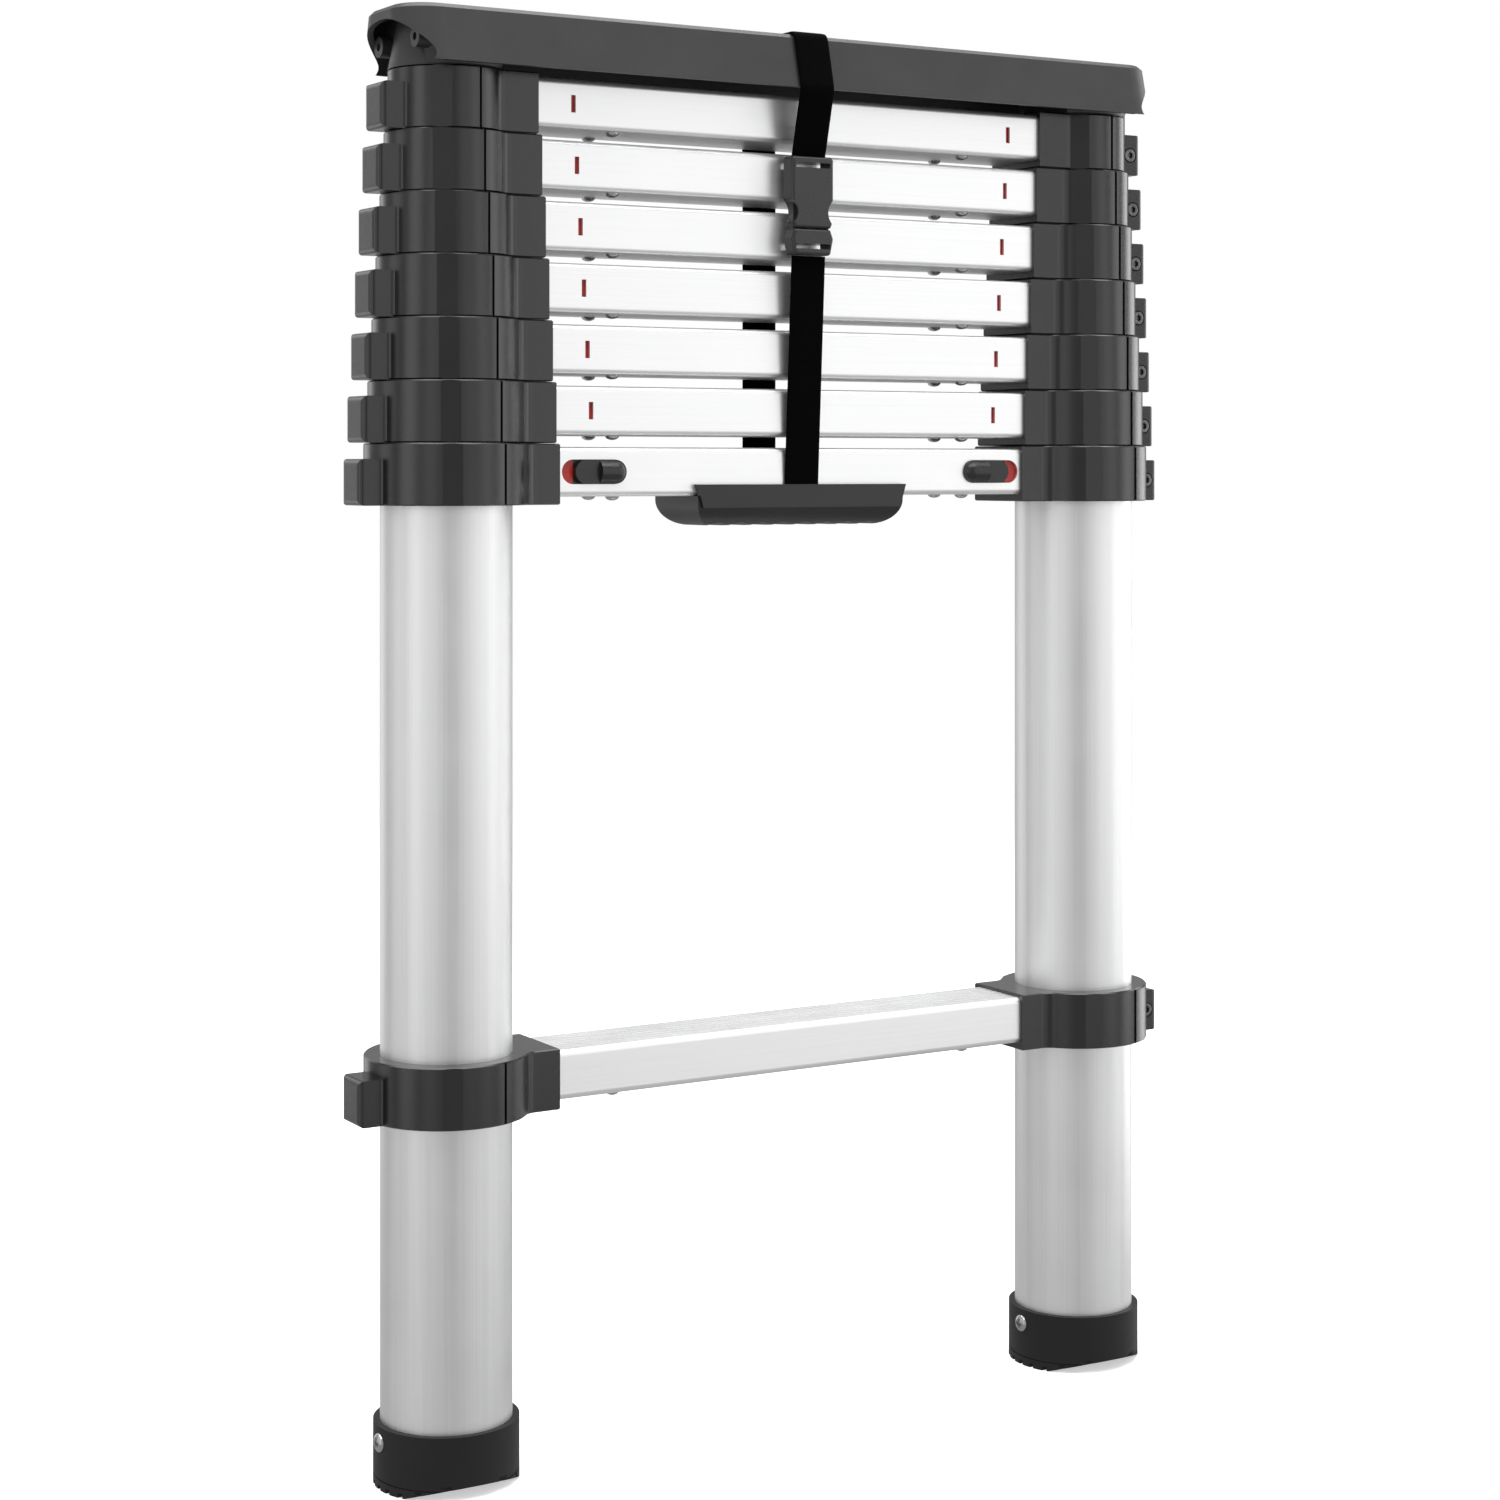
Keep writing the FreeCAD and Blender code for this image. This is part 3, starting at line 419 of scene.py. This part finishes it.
# clamp screws in the lugs: a flat head with a rounded rim and a six-sided socket
clampLook = {"inset": 7 * mm, "lift": 11.2 * mm, "face": 10.6 * mm, "head": 3.7 * mm, "socket": 1.9 * mm,
             "rim": 0.5 * mm, "mouth": 0.3 * mm, "mouthDepth": 0.2 * mm, "socketDepth": 1.9 * mm,
             "tipDepth": 2.2 * mm, "seat": 2.35 * mm, "stand": 0.2 * mm, "around": 36}


def clampPart(place, axis):
    head, socket, rim, top = (clampLook[key] for key in ("head", "socket", "rim", "stand"))
    profile = [(head, -clampLook["seat"]), (head, top - rim), (head - 0.3 * rim, top - 0.3 * rim),
               (head - rim, top), (socket + clampLook["mouth"], top), (socket, top - clampLook["mouthDepth"]),
               (socket, top - clampLook["socketDepth"]), (0.05 * socket, top - clampLook["tipDepth"])]
    sixSided = [False] * 5 + [True] * 2 + [False]
    points = turnTo(lathe(profile, clampLook["around"], sixSided), axis) + np.array(place)
    return points, tubeFaces(len(profile), clampLook["around"])


for level in levels:
    for side, sign in sides.items():
        low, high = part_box(f"collar_{level}_{side}")
        outer = low.x if sign < 0 else high.x
        facing = -sign  # the head is on the back of a left lug and the front of a right one
        place = (outer - sign * clampLook["inset"], facing * clampLook["face"], low.z + clampLook["lift"])
        points, faces = clampPart(place, (0, facing, 0))
        addPiece(f"clamp_screw_{level}_{side}", points, faces, "blackSteel", sectionOf[level])
print("clamp screws made")


# foot screws: a shallow dome, lower by a smooth step inside a cross
footScrewLook = {"z": 22.6 * mm, "sink": 0.1 * mm, "radius": 4.6 * mm, "rise": 2.0 * mm, "dome": 2.6,
                 "slot": 0.75 * mm, "slotEdge": 0.25 * mm, "reach": 2.5 * mm, "reachEdge": 0.35 * mm,
                 "depth": 1.3 * mm, "skirt": 0.4 * mm, "pole": 0.01, "rows": 30, "around": 72}


# 0 below the edge and 1 above it, with a smooth rise over the given width
def smoothStep(value, edge, width):
    t = np.clip((value - edge) / width + 0.5, 0, 1)
    return t * t * (3 - 2 * t)


def footScrewPart(place, axis):
    look = footScrewLook
    share = np.linspace(1, look["pole"], look["rows"])[:, None]
    angle = np.linspace(0, 2 * np.pi, look["around"], endpoint=False)[None, :]
    across, up = look["radius"] * share * np.cos(angle), look["radius"] * share * np.sin(angle)
    height = look["rise"] * np.sqrt(np.clip(1 - share ** look["dome"], 0, 1)) + 0 * angle
    arm = np.minimum(np.abs(across), np.abs(up))
    reach = np.maximum(np.abs(across), np.abs(up))
    besideSlot = smoothStep(arm, look["slot"], look["slotEdge"])
    pastSlot = smoothStep(reach, look["reach"], look["reachEdge"])
    height = height - look["depth"] * (1 - besideSlot) * (1 - pastSlot)
    grid = np.stack([across, up, height], -1).reshape(-1, 3)
    skirt = grid[: look["around"]] * [1, 1, 0] - [0, 0, look["skirt"]]
    points = turnTo(np.concatenate([skirt, grid]), axis) + np.array(place)
    return points, tubeFaces(look["rows"] + 1, look["around"])


for side in sides:
    low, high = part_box(f"foot_{side}")
    place = (low.x + footScrewLook["sink"], (low.y + high.y) / 2, footScrewLook["z"])
    points, faces = footScrewPart(place, (-1, 0, 0))
    addPiece(f"foot_screw_{side}", points, faces, "screwSteel", "section_1")
print("foot screws made")


# strap: a flat rounded section carried along the route of the webbing
strapLook = {"width": 20 * mm, "thick": 1.5 * mm, "bend": 2.4 * mm, "slack": 0.25 * mm, "step": 2.5 * mm,
             "around": 28, "power": 0.22, "sharpAbove": 60, "clear": 2.0 * mm,
             "handleFlange": 5.8 * mm,  # top of the handle's flange above the underside of rung 2
             "capBevel": 2.2 * mm, "capTaper": 7.0 * mm, "capEdge": 0.6 * mm}


# corners of the strap's middle line, as depth and height: down from the buckle's lower end, under rung 2,
# up the back, over the cap and down to the buckle's upper end
def strapRoute():
    half = strapLook["thick"] / 2
    off = half + strapLook["slack"]
    rung2Low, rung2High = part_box("rung_2")
    capLow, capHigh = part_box("top_cap")
    plugLow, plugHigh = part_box("buckle_plug")
    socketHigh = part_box("buckle_socket")[1]
    barY = (plugLow.y + plugHigh.y) / 2
    face = rung2High.y + off
    under = rung2Low.z - off
    slope = strapLook["capTaper"] / (capHigh.z - capLow.z)
    topHalf = capHigh.y - strapLook["capTaper"] + off + slope * strapLook["capBevel"]
    over = capHigh.z + off
    shoulder = over - strapLook["capBevel"]
    topFlat = topHalf - strapLook["capBevel"]
    skirt = capHigh.y + off
    skirtZ = capLow.z + strapLook["capEdge"]
    flangeZ = rung2Low.z + strapLook["handleFlange"] + strapLook["clear"]
    return np.array([(barY, plugLow.z - strapLook["slack"]), (-face, flangeZ), (-face, under), (face, under),
                     (face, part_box("rung_8")[0].z), (skirt, skirtZ), (topHalf, shoulder), (topFlat, over),
                     (-topFlat, over), (-topHalf, shoulder), (-skirt, skirtZ),
                     (barY, socketHigh.z + strapLook["slack"])])


# each inner corner becomes a short quadratic curve between points one bend length to either side of it
def roundedRoute(route, bend):
    before, corner, after = route[:-2], route[1:-1], route[2:]
    inward, outward = before - corner, after - corner
    lengthIn = np.linalg.norm(inward, axis=1, keepdims=True)
    lengthOut = np.linalg.norm(outward, axis=1, keepdims=True)
    start = corner + inward / lengthIn * np.minimum(bend, 0.45 * lengthIn)
    end = corner + outward / lengthOut * np.minimum(bend, 0.45 * lengthOut)
    t = np.linspace(0, 1, 7)[None, :, None]
    curve = (1 - t) ** 2 * start[:, None] + 2 * t * (1 - t) * corner[:, None] + t ** 2 * end[:, None]
    return np.concatenate([route[:1], curve.reshape(-1, 2), route[-1:]])


# points along a line at even steps, which keeps the line's own corners, and their distance along it
def evenlySpaced(line, step):
    length = np.concatenate([[0], np.cumsum(np.linalg.norm(np.diff(line, axis=0), axis=1))])
    keep = np.concatenate([[True], np.diff(length) > 1e-7])
    length, line = length[keep], line[keep]
    count = int(length[-1] / step) + 1
    wanted = np.unique(np.concatenate([np.linspace(0, length[-1], count), length]))
    return np.stack([np.interp(wanted, length, line[:, k]) for k in (0, 1)], 1), wanted


# the section is a rounded rectangle: half the width times a cosine and half the thickness times a sine,
# each raised to a low power; it is carried along the route square to its direction
def makeStrap():
    line, along = evenlySpaced(roundedRoute(strapRoute(), strapLook["bend"]), strapLook["step"])
    tangent = np.gradient(line, along, axis=0)
    tangent /= np.linalg.norm(tangent, axis=1, keepdims=True)
    normal = np.stack([tangent[:, 1], -tangent[:, 0]], 1)
    angle = np.linspace(0, 2 * np.pi, strapLook["around"], endpoint=False)
    cosine, sine, power = np.cos(angle), np.sin(angle), strapLook["power"]
    across = strapLook["width"] / 2 * np.sign(cosine) * np.abs(cosine) ** power
    deep = strapLook["thick"] / 2 * np.sign(sine) * np.abs(sine) ** (2 * power)
    place = line[:, None, :] + normal[:, None, :] * deep[None, :, None]
    points = np.stack([np.broadcast_to(across, place.shape[:2]), place[..., 0], place[..., 1]], -1)
    faces = tubeFaces(*points.shape[:2])
    piece = addPiece("strap", points.reshape(-1, 3), faces, "strapWebbing", "section_8",
                     strapLook["sharpAbove"])
    uvU, uvV = np.meshgrid(across + strapLook["width"] / 2, along)  # metres across and along the webbing
    vertexUv = np.stack([uvU, uvV], -1).reshape(-1, 2)
    layer = piece.data.uv_layers.new(name="webbing")
    corner = np.zeros(len(piece.data.loops), np.int32)
    piece.data.loops.foreach_get("vertex_index", corner)
    layer.data.foreach_set("uv", vertexUv[corner].ravel())
    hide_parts("strap_webbing")


# woven webbing: ribs across the strap, broken into picks by a finer wave along its width
webbingLook = {"dark": (0.0002, 0.0002, 0.0002), "light": (0.0012, 0.0012, 0.0012), "rib": 1.1 * mm,
               "pick": 0.8 * mm, "roughLow": 0.82, "roughHigh": 0.96, "specular": 0.04, "sheen": 0.01,
               "bump": 0.00015}


def webbingMaterial():
    mat, tree, shader = startMaterial("strapWebbing")
    split = tree.nodes.new("ShaderNodeSeparateXYZ")
    tree.links.new(patternCoords(tree, source="UV"), split.inputs[0])
    waves = []
    for axis, length in (("Y", "rib"), ("X", "pick")):
        turns = maths(tree, "MULTIPLY", split.outputs[axis], 2 * math.pi / webbingLook[length])
        waves.append(maths(tree, "SINE", turns))
    weave = maths(tree, "MULTIPLY_ADD", maths(tree, "MULTIPLY", *waves), 0.5, 0.5)
    fuzz = noise(tree, patternCoords(tree), patternScale["fuzz"])
    tone = weigh(tree, weave, fuzz, 0.7)
    link(tree, blendColours(tree, tone, webbingLook["dark"], webbingLook["light"]), shader, "Base Color")
    link(tree, spread(tree, fuzz, webbingLook["roughLow"], webbingLook["roughHigh"]), shader, "Roughness")
    shader.inputs["Specular IOR Level"].default_value = webbingLook["specular"]
    shader.inputs["Sheen Weight"].default_value = webbingLook["sheen"]
    addBump(tree, shader, tone, webbingLook["bump"])
    return mat


finishes["strapWebbing"] = webbingMaterial()
makeStrap()
print("strap made")


# floor: a pale sheet that fades out into the background with the distance from the ladder
floorLook = {"size": 9.0, "solidTo": 0.9, "goneBy": 2.6, "colour": (0.82, 0.82, 0.82, 1), "glow": 0.5,
             "rough": 0.9, "specular": 0.1}


def floorMaterial():
    mat, tree, shader = startMaterial("paleFloor")
    distance = tree.nodes.new("ShaderNodeVectorMath")
    distance.operation = "LENGTH"
    tree.links.new(patternCoords(tree, (1, 1, 0)), distance.inputs[0])
    fade = spread(tree, distance.outputs["Value"], 1, 0, floorLook["solidTo"], floorLook["goneBy"])
    shader.inputs["Base Color"].default_value = floorLook["colour"]
    shader.inputs["Emission Color"].default_value = (1, 1, 1, 1)
    shader.inputs["Emission Strength"].default_value = floorLook["glow"]
    shader.inputs["Roughness"].default_value = floorLook["rough"]
    shader.inputs["Specular IOR Level"].default_value = floorLook["specular"]
    link(tree, fade, shader, "Alpha")
    return mat


finishes["paleFloor"] = floorMaterial()
half = floorLook["size"] / 2
floorMesh = bpy.data.meshes.new("floor")
corners = [(x * half, y * half, cadLow.z) for x, y in ((-1, -1), (1, -1), (1, 1), (-1, 1))]
floorMesh.from_pydata(corners, [], [(0, 1, 2, 3)])
floorMesh.materials.append(finishes["paleFloor"])
floor = bpy.data.objects.new("floor", floorMesh)
scene.collection.objects.link(floor)
floor.visible_glossy = floor.visible_diffuse = floor.visible_shadow = False
print("floor made")
